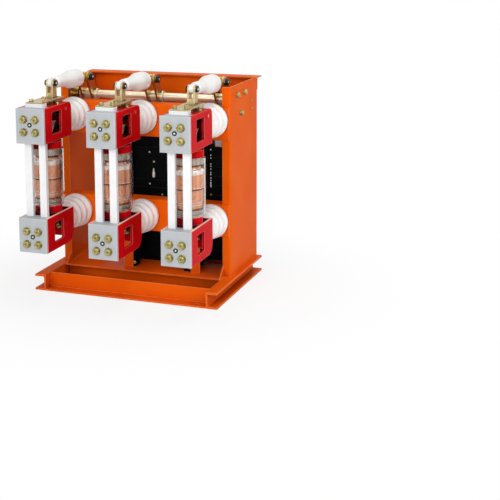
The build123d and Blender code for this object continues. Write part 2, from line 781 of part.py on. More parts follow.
os.makedirs("parts", exist_ok=True)
for name, piece in breaker().items():
    export_step(Pos(0, -overall_depth / 2, 0) * piece, f"parts/{name}.step")
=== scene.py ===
import json
import math

import bpy
import numpy as np
from mathutils import Matrix

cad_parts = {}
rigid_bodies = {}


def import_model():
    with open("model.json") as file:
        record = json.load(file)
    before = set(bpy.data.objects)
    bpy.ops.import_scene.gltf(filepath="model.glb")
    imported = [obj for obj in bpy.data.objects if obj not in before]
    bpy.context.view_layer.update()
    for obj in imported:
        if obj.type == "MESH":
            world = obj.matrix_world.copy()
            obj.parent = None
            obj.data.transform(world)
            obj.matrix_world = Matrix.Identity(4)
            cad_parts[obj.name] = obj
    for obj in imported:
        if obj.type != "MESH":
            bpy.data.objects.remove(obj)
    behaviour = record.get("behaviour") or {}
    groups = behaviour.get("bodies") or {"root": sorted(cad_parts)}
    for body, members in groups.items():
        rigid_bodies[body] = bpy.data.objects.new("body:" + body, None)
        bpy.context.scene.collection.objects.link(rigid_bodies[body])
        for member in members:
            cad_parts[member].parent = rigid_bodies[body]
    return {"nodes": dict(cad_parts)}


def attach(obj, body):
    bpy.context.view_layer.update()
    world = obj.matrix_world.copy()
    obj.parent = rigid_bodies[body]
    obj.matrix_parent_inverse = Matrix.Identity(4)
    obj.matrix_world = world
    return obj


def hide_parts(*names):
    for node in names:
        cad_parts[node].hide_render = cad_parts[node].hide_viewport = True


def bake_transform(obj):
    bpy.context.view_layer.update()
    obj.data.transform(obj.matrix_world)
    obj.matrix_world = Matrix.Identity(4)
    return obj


for leftover in list(bpy.data.objects):
    bpy.data.objects.remove(leftover)
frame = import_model()
bpy.context.view_layer.update()
solid = frame["nodes"]

# The view. The breaker stands on the ground and is seen from its front right with a long lens, from
# about four metres off and half a metre above its top. It fills the upper left of the picture.
turn, dip, lean = math.radians(22.654), math.radians(9.679), math.radians(-0.814)
eye_place = (1.5957, -3.791, 1.2548)
ahead = np.array([-math.sin(turn) * math.cos(dip), math.cos(turn) * math.cos(dip), -math.sin(dip)])
level = np.array([math.cos(turn), math.sin(turn), 0.0])
upright = np.cross(level, ahead)
right = math.cos(lean) * level + math.sin(lean) * upright
up = np.cross(right, ahead)
camera = bpy.data.objects.new("camera", bpy.data.cameras.new("camera"))
camera.data.lens = 88.642
camera.data.sensor_width = 36.0
camera.data.shift_x, camera.data.shift_y = 0.2117, -0.2441
placing = np.eye(4)
placing[:3, 0], placing[:3, 1], placing[:3, 2], placing[:3, 3] = right, up, -ahead, eye_place
camera.matrix_world = Matrix(placing.tolist())
bpy.context.scene.collection.objects.link(camera)
bpy.context.scene.camera = camera
bpy.context.scene.view_settings.view_transform = "Standard"


# The studio. A white room with one large soft box in front, a second on the right and a third
# overhead, so that paint, zinc and glass show soft edges of light. The pale floor keeps the
# breaker's shadow and fades to white farther out.
def linear(red, green, blue):
    """A screen colour of 0 to 255 as the linear colour that a shader takes."""
    share = np.array([red, green, blue]) / 255
    curve = np.where(share <= 0.04045, share / 12.92, ((share + 0.055) / 1.055) ** 2.4)
    return (*curve.tolist(), 1.0)


def shader_node(tree, kind, inputs=(), **properties):
    """Adds one shader node; an input is either a plain value or another node's output."""
    made = tree.nodes.new("ShaderNode" + kind)
    for key, value in properties.items():
        setattr(made, key, value)
    for socket, value in dict(inputs).items():
        if isinstance(value, bpy.types.NodeSocket):
            tree.links.new(value, made.inputs[socket])
        else:
            made.inputs[socket].default_value = value
    return made


def reckoned(tree, operation, *values):
    """Output of a Math node that works on one, two or three values."""
    return shader_node(tree, "Math", dict(enumerate(values)), operation=operation).outputs[0]


def seen_directly(tree):
    """1 where the eye, a mirror or glass looks at the backdrop, 0 where it only lights a piece."""
    ray = shader_node(tree, "LightPath").outputs
    mirrored = reckoned(tree, "MAXIMUM", ray["Is Camera Ray"], ray["Is Glossy Ray"])
    return reckoned(tree, "MAXIMUM", mirrored, ray["Is Transmission Ray"])


white = (1.0, 1.0, 1.0, 1.0)
as_light, as_backdrop = 0.42, 1.0
room = bpy.data.worlds.new("white_room")
room.use_nodes = True
tree = room.node_tree
tree.nodes.clear()
brightness = shader_node(tree, "MapRange", {0: seen_directly(tree), 3: as_light, 4: as_backdrop})
walls = shader_node(tree, "Background", {0: white, 1: brightness.outputs[0]})
shader_node(tree, "OutputWorld", {0: walls.outputs[0]})
bpy.context.scene.world = room

floor_edge = 9
corners = [(way_x * floor_edge, way_y * floor_edge, 0)
           for way_x, way_y in ((-1, -1), (1, -1), (1, 1), (-1, 1))]
ground = bpy.data.meshes.new("ground")
ground.from_pydata(corners, [], [(0, 1, 2, 3)])
floor = bpy.data.objects.new("floor", ground)
bpy.context.scene.collection.objects.link(floor)
fade_start, fade_end, glow_near, glow_far = 0.35, 1.0, 0.8, 1.0
white_floor = bpy.data.materials.new("white_floor")
white_floor.use_nodes = True
tree = white_floor.node_tree
tree.nodes.clear()
coordinates = shader_node(tree, "TexCoord")
distance = shader_node(tree, "VectorMath", {0: coordinates.outputs["Object"]}, operation="LENGTH")
faded = shader_node(tree, "MapRange", {0: distance.outputs["Value"], 1: fade_start, 2: fade_end,
                                       3: glow_near, 4: glow_far}, interpolation_type="SMOOTHSTEP")
share = reckoned(tree, "MULTIPLY", faded.outputs[0], seen_directly(tree))
matt = shader_node(tree, "BsdfDiffuse", {0: (0.9, 0.9, 0.9, 1.0)})
glow = shader_node(tree, "Emission", {0: white, 1: 1.0})
mixed = shader_node(tree, "MixShader", {0: share, 1: matt.outputs[0], 2: glow.outputs[0]})
shader_node(tree, "OutputMaterial", {0: mixed.outputs[0]})
floor.data.materials.append(white_floor)


def soft_box(name, place, size, power, aim=(0.0, 0.0, 0.35)):
    """Square soft box of a size in metres and a power in watts, aimed at the breaker's middle."""
    lamp = bpy.data.lights.new(name, "AREA")
    lamp.size = size
    lamp.energy = power
    box = bpy.data.objects.new(name, lamp)
    back = np.array(place) - np.array(aim)
    back /= np.linalg.norm(back)
    side = np.cross([0.0, 0.0, 1.0], back)
    side /= np.linalg.norm(side)
    turned_to = np.eye(4)
    turned_to[:3, 0], turned_to[:3, 1], turned_to[:3, 2] = side, np.cross(back, side), back
    turned_to[:3, 3] = place
    box.matrix_world = Matrix(turned_to.tolist())
    bpy.context.scene.collection.objects.link(box)


soft_box("soft_box_front", (0.5, -3.6, 1.7), 1.8, 71.0)
soft_box("soft_box_right", (3.0, -0.8, 1.4), 1.4, 28.0)
soft_box("soft_box_top", (0.3, 0.2, 2.8), 1.6, 16.0)


# The welded frame. Channels, angles, folded walls, crossbars, rail, pan and struts are mild steel,
# welded, then coated with orange powder. Its colour carries painted shade in its corners and a
# painted highlight along its edges. The beads run up the channels' webs and along the feet of the
# walls, gussets and struts.
def coat_of(name, **sockets):
    """A new finish: its material, its tree and its Principled shader with plain sockets set."""
    made = bpy.data.materials.new(name)
    made.use_nodes = True
    principled = made.node_tree.nodes["Principled BSDF"]
    for socket, value in sockets.items():
        principled.inputs[socket.replace("_", " ")].default_value = value
    return made, made.node_tree, principled


def own_place(tree):
    """Where a point lies on the piece's own coordinates, in metres."""
    return shader_node(tree, "TexCoord").outputs["Object"]


def grain(tree, scale, detail=2.0, stretch=(1.0, 1.0, 1.0)):
    """Noise on the piece's own coordinates, about one lump to each 1/scale metres."""
    laid = shader_node(tree, "Mapping", {0: own_place(tree), 3: stretch}).outputs[0]
    return shader_node(tree, "TexNoise", {0: laid, 2: scale, 3: detail}).outputs[0]


def blend_of(tree, share, low, high, edges=(0.35, 0.65)):
    """Colour that runs from one screen colour to another as share runs between two edges."""
    ramp = shader_node(tree, "ValToRGB", {0: share})
    for point, place, colour in zip(ramp.color_ramp.elements, edges, (low, high)):
        point.position, point.color = place, linear(*colour)
    return ramp.outputs[0]


def laid_over(tree, share, colour, other, **properties):
    """Colour that turns from one output or value into another as share runs from 0 to 1."""
    return shader_node(tree, "Mix", {0: share, 6: colour, 7: other}, data_type="RGBA",
                       **properties).outputs[2]


def painted_edge_highlight(tree, colour, edge_colour, reach, amount=0.8):
    """Lets a colour turn into a screen colour within that reach in metres of a sharp edge: a
    painted highlight along the edge.

    Its share runs from 0 to amount as the dot product of the face's normal and the rounded one
    falls from 0.985 to 0.8.
    """
    rounded = shader_node(tree, "Bevel", {0: reach}, samples=6).outputs[0]
    face = shader_node(tree, "NewGeometry").outputs["Normal"]
    same = shader_node(tree, "VectorMath", {0: rounded, 1: face}, operation="DOT_PRODUCT")
    share = shader_node(tree, "MapRange", {0: same.outputs["Value"], 1: 0.985, 2: 0.8, 3: 0.0,
                                           4: amount})
    return laid_over(tree, share.outputs[0], colour, linear(*edge_colour))


def painted_corner_shading(tree, colour, dark, reach, amount=0.8, sky=(0.9, 0.35)):
    """Lets a colour turn into a screen colour in corners narrower than that reach in metres:
    painted shade where that colour is dark, painted light where it is pale.

    Its share runs from 0 to amount as the share of open sky falls from the first to the second.
    """
    open_share = shader_node(tree, "AmbientOcclusion", {"Distance": reach}, samples=6).outputs["AO"]
    share = shader_node(tree, "MapRange", {0: open_share, 1: sky[0], 2: sky[1], 3: 0.0, 4: amount})
    return laid_over(tree, share.outputs[0], colour, linear(*dark))


def relief(tree, principled, height, depth, edge=0.0):
    """Lets a height pattern of that depth, and edges rounded by a radius, tilt the surface."""
    bump = shader_node(tree, "Bump", {"Height": height, "Distance": depth})
    if edge:
        rounded = shader_node(tree, "Bevel", {0: edge}, samples=6)
        tree.links.new(rounded.outputs[0], bump.inputs["Normal"])
    tree.links.new(bump.outputs[0], principled.inputs["Normal"])


def mottle(tree, principled, colour, roughness):
    """Feeds a colour output and a range of roughness, carried by a slow noise, to the shader."""
    tree.links.new(colour, principled.inputs["Base Color"])
    slow = shader_node(tree, "MapRange", {0: grain(tree, 14.0), 1: 0.3, 2: 0.7, 3: roughness[0],
                                          4: roughness[1]})
    tree.links.new(slow.outputs[0], principled.inputs["Roughness"])


def clothe(names, finish):
    """Gives a finish to every slot of the named solids."""
    for name in names:
        for slot in solid[name].material_slots:
            slot.material = finish


orange, tree, principled = coat_of("orange_powder_coat", Specular_IOR_Level=0.02)
tones = blend_of(tree, grain(tree, 6.0, 4.0), (230, 90, 8), (235, 99, 14))
# Painted shade darkens the orange in corners and recesses; a painted highlight pales its edges.
tones = painted_corner_shading(tree, tones, (110, 26, 2), 0.1, 0.8, (0.5, 0.2))
mottle(tree, principled, painted_edge_highlight(tree, tones, (255, 176, 112), 0.0024, 0.9), (0.36, 0.44))
relief(tree, principled, grain(tree, 900.0, 1.0), 0.00006, 0.0012)
clothe(["base_channel_right", "base_channel_left", "base_angles", "side_wall_right",
        "side_wall_left", "upper_crossbar", "lower_crossbar", "rear_rail", "rear_panel",
        "floor_pan", "floor_struts"], orange)


def skin(rings):
    """Closed skin over rings of points, a row each: four-sided faces between them, flat ends."""
    rows, around = rings.shape[:2]
    i, j = np.meshgrid(np.arange(rows - 1), np.arange(around), indexing="ij")
    k = (j + 1) % around
    row, next_row = i * around, (i + 1) * around
    faces = np.stack([row + j, row + k, next_row + k, next_row + j], -1)
    ends = [list(range(around))[::-1], list(range((rows - 1) * around, rows * around))]
    return rings.reshape(-1, 3), faces.reshape(-1, 4).tolist() + ends


def joined(*shapes):
    """Several shapes as one: points one after another, faces counted on."""
    points, faces = [], []
    for more, their_faces in shapes:
        start = sum(len(p) for p in points)
        points.append(more)
        faces += [[start + corner for corner in face] for face in their_faces]
    return np.concatenate(points), faces


def made_piece(name, shape, finish, soft=35.0):
    """Makes a shape in millimetres into an object; edges over soft degrees stay sharp."""
    points, faces = shape
    mesh = bpy.data.meshes.new(name)
    mesh.from_pydata((points / 1000).tolist(), [], faces)
    mesh.polygons.foreach_set("use_smooth", np.ones(len(faces), bool))
    mesh.set_sharp_from_angle(angle=math.radians(soft))
    mesh.materials.append(finish)
    piece = bpy.data.objects.new(name, mesh)
    bpy.context.scene.collection.objects.link(piece)
    return piece


def fit(name, shape, finish, body, soft=35.0):
    """Makes a shape into a piece that rides on a body."""
    piece = made_piece(name, shape, finish, soft)
    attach(piece, body)
    return piece


def tube(path, radius, around=10):
    """Tube along points: each ring lies across the path's direction there, at its own radius.

    The ring's first axis is the cross product of the path's direction and a fixed one that the
    path never follows, and the second is the cross product of the direction and the first.
    """
    path = np.array(path, float)
    along = np.gradient(path, axis=0)
    along /= np.linalg.norm(along, axis=1)[:, None]
    fixed = np.eye(3)[np.argmin(np.abs(along).max(0))]
    first = np.cross(along, fixed)
    first /= np.linalg.norm(first, axis=1)[:, None]
    second = np.cross(along, first)
    angle = np.arange(around) * 2 * np.pi / around
    reach = np.broadcast_to(radius, len(path))[:, None, None]
    return skin(path[:, None] + reach * (np.cos(angle)[:, None] * first[:, None]
                                         + np.sin(angle)[:, None] * second[:, None]))


def weld_bead(start, end, size, ripple=3.2):
    """Weld from start to end: radius = size (1 + 0.16 cos(2 pi s / ripple)) at a distance s along.

    Its first and last rings are half as wide.
    """
    start, end = np.array(start, float), np.array(end, float)
    length = np.linalg.norm(end - start)
    share = np.linspace(0, 1, max(4, int(length / ripple * 4)))
    swell = size * (1 + 0.16 * np.cos(2 * np.pi * share * length / ripple))
    swell[[0, -1]] *= 0.5
    return tube(start + share[:, None] * (end - start), swell, 8)


channel_web, wall_face, base_top, strut_back = 291.0, 312.0, 55.0, 27.0
thick_bead, thin_bead = 2.2, 2.0
beads = []
for way in (-1, 1):
    for y in (-125.0, 279.0):
        beads.append(weld_bead((way * channel_web, y, 7), (way * channel_web, y, 47), thick_bead))
    for x, start, end, size in ((287.0, -12, 26, thick_bead), (283.0, 34, 154, thin_bead),
                                (wall_face, 32, 90, thin_bead), (wall_face, 250, 318, thin_bead)):
        beads.append(weld_bead((way * x, start, base_top), (way * x, end, base_top), size))
for x in (-63.0, 184.0):
    beads.append(weld_bead((x - 15, strut_back, base_top), (x + 15, strut_back, base_top),
                           thin_bead))
fit("frame_welds", joined(*beads), orange, "frame", 60.0)

# The rear rail. A folded steel angle along the top of the frame, behind the walls, in the same
# orange coat. Its top leg runs on past the walls, and its upright leg is cut off between them. The
# mesh is the angle's six-cornered section, set at six places along x.
rail_front, rail_back, rail_top, rail_sheet = 276.0, 326.0, 705.0, 4.0
rail_inside, rail_under = rail_back - rail_sheet, rail_top - rail_sheet
rail_end, leg_end, leg_foot, cut_foot = 326.0, 311.8, 655.0, 700.5
rail_x = np.array([-rail_end, -leg_end - 0.1, -leg_end, leg_end, leg_end + 0.1, rail_end])
rail_rings = np.zeros((6, 6, 3))
rail_rings[:, :, 0] = rail_x[:, None]
rail_rings[:, :, 1] = (rail_front, rail_back, rail_back, rail_inside, rail_inside, rail_front)
rail_rings[:, :, 2] = rail_top
rail_rings[:, 2:4, 2] = np.where(np.abs(rail_x) > leg_end, cut_foot, leg_foot)[:, None]
rail_rings[:, 4:, 2] = rail_under
rail = fit("folded_rail", skin(rail_rings), orange, "frame")
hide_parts("rear_rail")


# Bolts of the frame. Hexagon screws with a flat and a spring washer, zinc plated and passivated
# yellow. Three hold each shaft bearing, two hold each post insulator behind its crossbar, and
# others hold the rear panel, the rail and the mechanism's feet.
def turned(profile, around=24, flats=0, across=0.0):
    """Shape turned about z from (radius, height) pairs, closed flat at both ends.

    Point (i, j) lies at angle 2 pi j / around. With flats, its radius is cut down to
    across / 2 / cos(angle from the middle of the nearest flat), which leaves a nut's sides.
    """
    radius, height = np.array(profile, float).T
    angle = np.arange(around) * 2 * np.pi / around
    reach = np.repeat(radius[:, None], around, 1)
    if flats:
        off_middle = (angle + np.pi / flats) % (2 * np.pi / flats) - np.pi / flats
        reach = np.minimum(reach, across / 2 / np.cos(off_middle))
    tall = np.repeat(height[:, None], around, 1)
    return skin(np.stack([reach * np.cos(angle), reach * np.sin(angle), tall], -1))


def set_at(shape, places, facing, roll=0.0):
    """The shape once at every place in millimetres, its z axis turned to face that way.

    Its x axis is the cross product of the world's z and that way, or the world's x where it
    faces up or down, turned about that way by roll in radians.
    """
    points, faces = shape
    out = np.array(facing, float)
    side = np.cross([0.0, 0.0, 1.0], out) if abs(out[2]) < 0.9 else np.array([1.0, 0.0, 0.0])
    side /= np.linalg.norm(side)
    other = np.cross(out, side)
    axes = np.stack([math.cos(roll) * side + math.sin(roll) * other,
                     math.cos(roll) * other - math.sin(roll) * side, out])
    return joined(*[(points @ axes + np.array(place, float), faces) for place in places])


def hexagon_screw(size, washer=True, proud=1.0):
    """Screw head of a thread size, standing on z = 0: washer, spring washer, dished hexagon head.

    The head's radii are shares of its width across flats, 1.55 size. Its heights, and the radii
    and heights of both washers, are shares of size. The head is 0.64 size high, times proud.
    """
    across, deep = 1.55 * size, 0.64 * size * proud
    flat = 0.18 * size if washer else 0.0
    spring = flat + (0.2 * size if washer else 0.0)
    top = spring + deep
    parts = [turned([(across * 0.46, spring), (across * 0.475, spring + 0.04 * size),
                     (0.6 * across, spring + 0.05 * size), (0.6 * across, top - 0.14 * size),
                     (0.48 * across, top - 0.02 * size), (0.45 * across, top), (0.31 * across, top),
                     (0.27 * across, top - 0.06 * size), (0.14 * across, top - 0.07 * size),
                     (0.12 * across, top - 0.3 * size)], 36, 6, across)]
    if washer:
        parts.append(turned([(0.98 * size, 0.0), (size, 0.3), (size, flat - 0.3),
                             (size - 0.3, flat), (0.6 * size, flat)], 36))
        parts.append(turned([(0.8 * size, flat), (0.84 * size, flat + 0.05 * size),
                             (0.82 * size, spring), (0.5 * size, spring)], 30))
    return joined(*parts)


yellow, tree, principled = coat_of("yellow_zinc", Metallic=1.0)
tones = blend_of(tree, grain(tree, 35.0, 3.0), (154, 146, 84), (178, 164, 108))
# Painted shade darkens the zinc round heads and washers; a painted highlight pales its edges.
tones = painted_corner_shading(tree, tones, (70, 62, 26), 0.004)
mottle(tree, principled, painted_edge_highlight(tree, tones, (240, 232, 190), 0.0007, 0.6), (0.24, 0.36))
relief(tree, principled, grain(tree, 600.0, 2.0), 0.00003, 0.0006)

inner_face, shaft_y, shaft_z, bearing_ring = 300.0, 135.0, 644.0, 44.0
in_bearing = [(shaft_y + bearing_ring * math.cos(a), shaft_z + bearing_ring * math.sin(a))
              for a in np.radians((30.0, 150.0, 270.0))]
in_wall = ((250.0, 627.0), (256.0, 598.0))
side_screws = ((hexagon_screw(10.0), wall_face, in_bearing, 1),
               (hexagon_screw(5.0), wall_face, in_wall, 1),
               (hexagon_screw(10.0, False), inner_face, in_bearing, -1))
fit("bearing_screws", joined(*[
    set_at(screw, [(way * face, y, z) for y, z in places], (way * out, 0, 0))
    for screw, face, places, out in side_screws for way in (1, -1)]),
    yellow, "frame")

poles = (-250.0, 0.0, 250.0)
upper_arm, lower_arm = 591.0, 248.0
crossbar_back, insulator_half_pitch = 27.0, 30.0
fit("insulator_screws", set_at(hexagon_screw(12.0), [
    (x, crossbar_back, z + dz) for x in poles for z in (upper_arm, lower_arm)
    for dz in (-insulator_half_pitch, insulator_half_pitch)], (0, 1, 0)),
    yellow, "frame")

panel_back, panel_rows, rail_row = 318.0, (545.0, 595.0, 642.0), 680.0
rear_columns = (-299.0, 299.0)
foot_places = ((-52.0, 52.0, 61.0), (160.0, 52.0, 61.0))
fit("rear_screws", joined(
    set_at(hexagon_screw(6.0), [(x, panel_back, z) for x in rear_columns for z in panel_rows],
           (0, 1, 0)),
    set_at(hexagon_screw(6.0, False), [(x, rail_back, rail_row) for x in rear_columns], (0, 1, 0)),
    set_at(hexagon_screw(10.0), foot_places, (0, 0, 1))), yellow, "frame")


# The brackets. Each pole has two of red enamelled steel, with painted shade in their corners and a
# painted highlight along their edges; the top edges of the lower ones carry a pale painted
# highlight where they face up. Two screws hold each of them at its back; those in the upper ones
# are black steel, as painted shade for the shadow inside the upper brackets.
def even_finish(name, low, high, lumps, roughness, texture, depth, edge=0.0, **sockets):
    """A finish of two screen colours in lumps, with a texture of that depth in its surface.

    Lumps and texture are what grain takes after the tree: a scale, a detail and a stretch.
    """
    made, tree, principled = coat_of(name, **sockets)
    mottle(tree, principled, blend_of(tree, grain(tree, *lumps), low, high), roughness)
    relief(tree, principled, grain(tree, *texture), depth, edge)
    return made


red, tree, principled = coat_of("red_enamel", Specular_IOR_Level=0.02)
tones = blend_of(tree, grain(tree, 9.0, 3.0), (202, 8, 16), (210, 12, 22))
# Painted shade darkens the enamel in corners and inside the brackets; a painted highlight pales its
# edges.
tones = painted_corner_shading(tree, tones, (66, 6, 8), 0.06, 0.9)
tones = painted_edge_highlight(tree, tones, (255, 190, 182), 0.0028, 0.5)
# A painted highlight on the lower brackets' top edges: faces at that height turn pale as far as
# they point up.
lower_top, top_highlight_band = 0.293, 0.001
height = shader_node(tree, "SeparateXYZ", {0: own_place(tree)}).outputs["Z"]
normal = shader_node(tree, "NewGeometry").outputs["Normal"]
upward = shader_node(tree, "SeparateXYZ", {0: normal}).outputs["Z"]
near_top = reckoned(tree, "COMPARE", height, lower_top, top_highlight_band)
painted_top_highlight = reckoned(tree, "MULTIPLY", near_top, upward)
mottle(tree, principled, laid_over(tree, painted_top_highlight, tones, linear(255, 206, 196)), (0.32, 0.4))
relief(tree, principled, grain(tree, 700.0, 1.0), 0.00005, 0.0015)
sides = ("left", "middle", "right")
clothe([f"{side}_{arm}_bracket" for side in sides for arm in ("upper", "lower")], red)

dark_steel = even_finish("blackened_steel", (30, 32, 34), (48, 50, 52), (60.0, 3.0), (0.3, 0.42),
                         (900.0, 2.0), 0.00002, Metallic=0.8)
rear_wall, bracket_half_pitch, bracket_roll = -132.0, 22.0, 0.2
# The upper ones are given black steel as painted shade, for the shadow inside the upper brackets.
for arm, z, finish, slot in (("lower", lower_arm, yellow, "yellow_zinc"),
                             ("upper", upper_arm, dark_steel, "black_mechanism")):
    fit(f"{arm}_bracket_screws", set_at(hexagon_screw(10.0), [
        (x, rear_wall, z + dz) for x in poles for dz in (-bracket_half_pitch, bracket_half_pitch)],
        (0, -1, 0), bracket_roll), finish, "frame")

# The terminals. Extruded aluminium bar, sawn, bevelled and pickled to an even satin grey. Each has
# four yellow screws round a steel stud in a black collar, and each upper one has a countersunk
# black screw in both cheeks.
aluminium, tree, principled = coat_of("satin_aluminium", Specular_IOR_Level=0.1)
tones = blend_of(tree, grain(tree, 60.0, 5.0), (179, 184, 188), (185, 188, 191))
# A painted highlight pales the terminals' edges.
mottle(tree, principled, painted_edge_highlight(tree, tones, (246, 240, 240), 0.0022, 0.9), (0.42, 0.5))
relief(tree, principled, grain(tree, 1500.0, 2.0, (1.0, 1.0, 0.15)), 0.00002, 0.0015)
clothe([f"{side}_terminals" for side in sides], aluminium)
bright_steel = even_finish("bright_steel", (238, 238, 234), (250, 250, 247), (60.0, 3.0),
                           (0.3, 0.4), (900.0, 2.0), 0.00002, Metallic=0.6)

front, screw_rows, screw_half_pitch, screw_roll = -326.0, (578.5, 620.0, 207.0, 250.0), 21.0, 0.35
fit("terminal_screws", set_at(hexagon_screw(13.3), [
    (x + dx, front, z) for x in poles for z in screw_rows
    for dx in (-screw_half_pitch, screw_half_pitch)], (0, -1, 0), screw_roll),
    yellow, "frame")
cheek_side, cheek_y, cheek_z = 50.3, -308.0, 635.0
countersunk = turned([(2.9, 0.0), (2.9, 0.3), (1.6, 0.5), (1.4, 0.1)], 20)
fit("cheek_screws", joined(*[
    set_at(countersunk, [(x + way * cheek_side, cheek_y, cheek_z)], (way, 0, 0))
    for x in poles for way in (-1, 1)]), dark_steel, "frame")
stud_places = [(x, front, z) for x in poles for z in (602.3, 231.6)]
collar = turned([(3.1, 0.0), (7.6, 0.0), (7.6, 1.6), (6.8, 2.4), (3.9, 2.4), (3.1, 1.4)], 36)
fit("socket_screws", set_at(collar, stud_places, (0, -1, 0)), dark_steel, "frame")
stud = turned([(3.1, 0.0), (3.1, 1.4), (2.4, 2.0)], 24)
fit("socket_ends", set_at(stud, stud_places, (0, -1, 0)), bright_steel, "frame")

# The insulation. Post insulators are cast in glossy white resin; the bars between the terminals
# are white glass laminate; the pull rods are moulded in white resin round a zinc plated ferrule.
resin, tree, principled = coat_of("white_resin", Specular_IOR_Level=0.4, Subsurface_Weight=0.4,
                                  Subsurface_Scale=0.02, Subsurface_Radius=(1.0, 0.95, 0.9))
tones = blend_of(tree, grain(tree, 12.0, 3.0), (245, 243, 240), (248, 247, 245))
# Painted light: the grooves between the sheds turn pure white where shade would fall.
tones = painted_corner_shading(tree, tones, (255, 255, 255), 0.012, 1.0)
mottle(tree, principled, tones, (0.24, 0.32))
relief(tree, principled, grain(tree, 250.0, 1.0), 0.00002, 0.012)
clothe([f"{side}_post_insulators" for side in sides], resin)

laminate = even_finish("white_laminate", (232, 233, 234), (237, 237, 237), (30.0, 4.0), (0.4, 0.5),
                       (900.0, 1.0, (1.0, 1.0, 0.2)), 0.00003, 0.001)
clothe([f"{side}_insulating_bars" for side in sides], laminate)

moulded, tree, principled = coat_of("white_rod_resin", Coat_Weight=0.2, Coat_Roughness=0.15)
ferrule_start = 0.0353
back = shader_node(tree, "SeparateXYZ", {0: own_place(tree)}).outputs["Y"]
plated = reckoned(tree, "GREATER_THAN", back, ferrule_start)
tones = blend_of(tree, grain(tree, 20.0, 3.0), (230, 229, 227), (236, 235, 233))
mottle(tree, principled, laid_over(tree, plated, tones, linear(206, 176, 92)), (0.28, 0.36))
tree.links.new(plated, principled.inputs["Metallic"])
relief(tree, principled, grain(tree, 400.0, 1.0), 0.00003)
clothe([f"{side}_pull_rod" for side in sides], moulded)

# The levers and cover plates. Cut steel, zinc plated and yellow passivated; the axle's ends are red
# but for a bare centre. Black circlips and plated washers hold the clevis pin. Two screws hold each
# cover plate to its spacer, and on the left plate a small bronze eye takes the place of one.
pale, tree, principled = coat_of("pale_zinc", Metallic=0.9)
tones = blend_of(tree, grain(tree, 35.0, 3.0), (168, 150, 98), (188, 170, 122))
# Painted shade darkens the plates in corners; a painted highlight pales their edges.
tones = painted_corner_shading(tree, tones, (78, 66, 30), 0.012)
mottle(tree, principled, painted_edge_highlight(tree, tones, (252, 244, 220), 0.0014, 0.9), (0.28, 0.4))
relief(tree, principled, grain(tree, 600.0, 2.0), 0.00003, 0.0008)
clothe(["cover_plates"], pale)


def beyond(tree, place, axis, radius):
    """1 where y and z lie farther than a radius in metres from those of an axis along x, else 0."""
    section = shader_node(tree, "CombineXYZ", {1: place["Y"], 2: place["Z"]}).outputs[0]
    away = shader_node(tree, "VectorMath", {0: section, 1: (0.0, *axis)}, operation="DISTANCE")
    return reckoned(tree, "GREATER_THAN", away.outputs["Value"], radius)


pole_pitch, bracket_half, axle, bare_radius = 0.25, 0.0505, (-0.166, 0.635), 0.0034
lever, tree, principled = coat_of("lever_zinc")
tones = blend_of(tree, grain(tree, 35.0, 3.0), (190, 170, 116), (206, 188, 142))
# Painted shade darkens the levers in corners; a painted highlight pales their edges.
tones = painted_corner_shading(tree, tones, (84, 78, 34), 0.014, 0.9)
tones = painted_edge_highlight(tree, tones, (252, 244, 220), 0.0012, 0.9)
place = shader_node(tree, "SeparateXYZ", {0: own_place(tree)}).outputs
from_left = reckoned(tree, "ADD", place["X"], 1.5 * pole_pitch)
in_pitch = reckoned(tree, "FLOORED_MODULO", from_left, pole_pitch)
off_pole = reckoned(tree, "ABSOLUTE", reckoned(tree, "SUBTRACT", in_pitch, 0.5 * pole_pitch))
outside = reckoned(tree, "GREATER_THAN", off_pole, bracket_half)
painted = reckoned(tree, "MULTIPLY", outside, beyond(tree, place, axle, bare_radius))
mottle(tree, principled, laid_over(tree, painted, tones, linear(200, 14, 24)), (0.28, 0.4))
plated = shader_node(tree, "MapRange", {0: painted, 3: 0.85, 4: 0.0}).outputs[0]
tree.links.new(plated, principled.inputs["Metallic"])
relief(tree, principled, grain(tree, 600.0, 2.0), 0.00003, 0.0008)
clothe([f"{side}_bell_crank" for side in sides], lever)

cover_top, bracket_top = 671.0, 655.0
low_screws = [(x - 20.0, -271.0, cover_top) for x in poles]
tall_screws = [(x + 18.0, -268.0, cover_top) for x in poles[1:]]
bracket_screws = [(x + dx, -200.0, bracket_top) for x in poles for dx in (-39.0, 39.0)]
fit("cover_screws", joined(set_at(hexagon_screw(8.0), low_screws, (0, 0, 1)),
                           set_at(hexagon_screw(8.0, True, 1.7), tall_screws, (0, 0, 1)),
                           set_at(hexagon_screw(6.0), bracket_screws, (0, 0, 1))),
    yellow, "frame")
bronze = even_finish("bronze", (190, 132, 84), (206, 150, 100), (60.0, 3.0), (0.28, 0.4),
                     (900.0, 2.0), 0.00002, Metallic=1.0)
# The eye is bent wire: from its foot up to a ring, centre + radius (cos a, sin a) in x and z.
eye_foot, eye_radius, eye_rise, eye_wire = (-229.0, -266.0, cover_top), 6.6, 9.6, 1.6
bow = np.radians(np.linspace(-75, 255, 34))
eye = np.array(eye_foot) + np.stack([eye_radius * np.cos(bow), 0 * bow,
                                     eye_rise + eye_radius * np.sin(bow)], -1)
eye_collar = turned([(4.0, 0.0), (4.2, 0.6), (3.4, 2.4), (1.8, 2.8)], 24)
fit("cover_eye", joined(tube(np.concatenate([[eye_foot], eye]), eye_wire, 12),
                        set_at(eye_collar, [eye_foot], (0, 0, 1))), bronze, "frame")


def both_ends(shape, middles, half, y, z):
    """The shape at both ends of a pin along x, facing outwards, for a pin at each middle."""
    return joined(*[set_at(shape, [(x + way * half, y, z)], (way, 0, 0))
                    for x in middles for way in (-1, 1)])


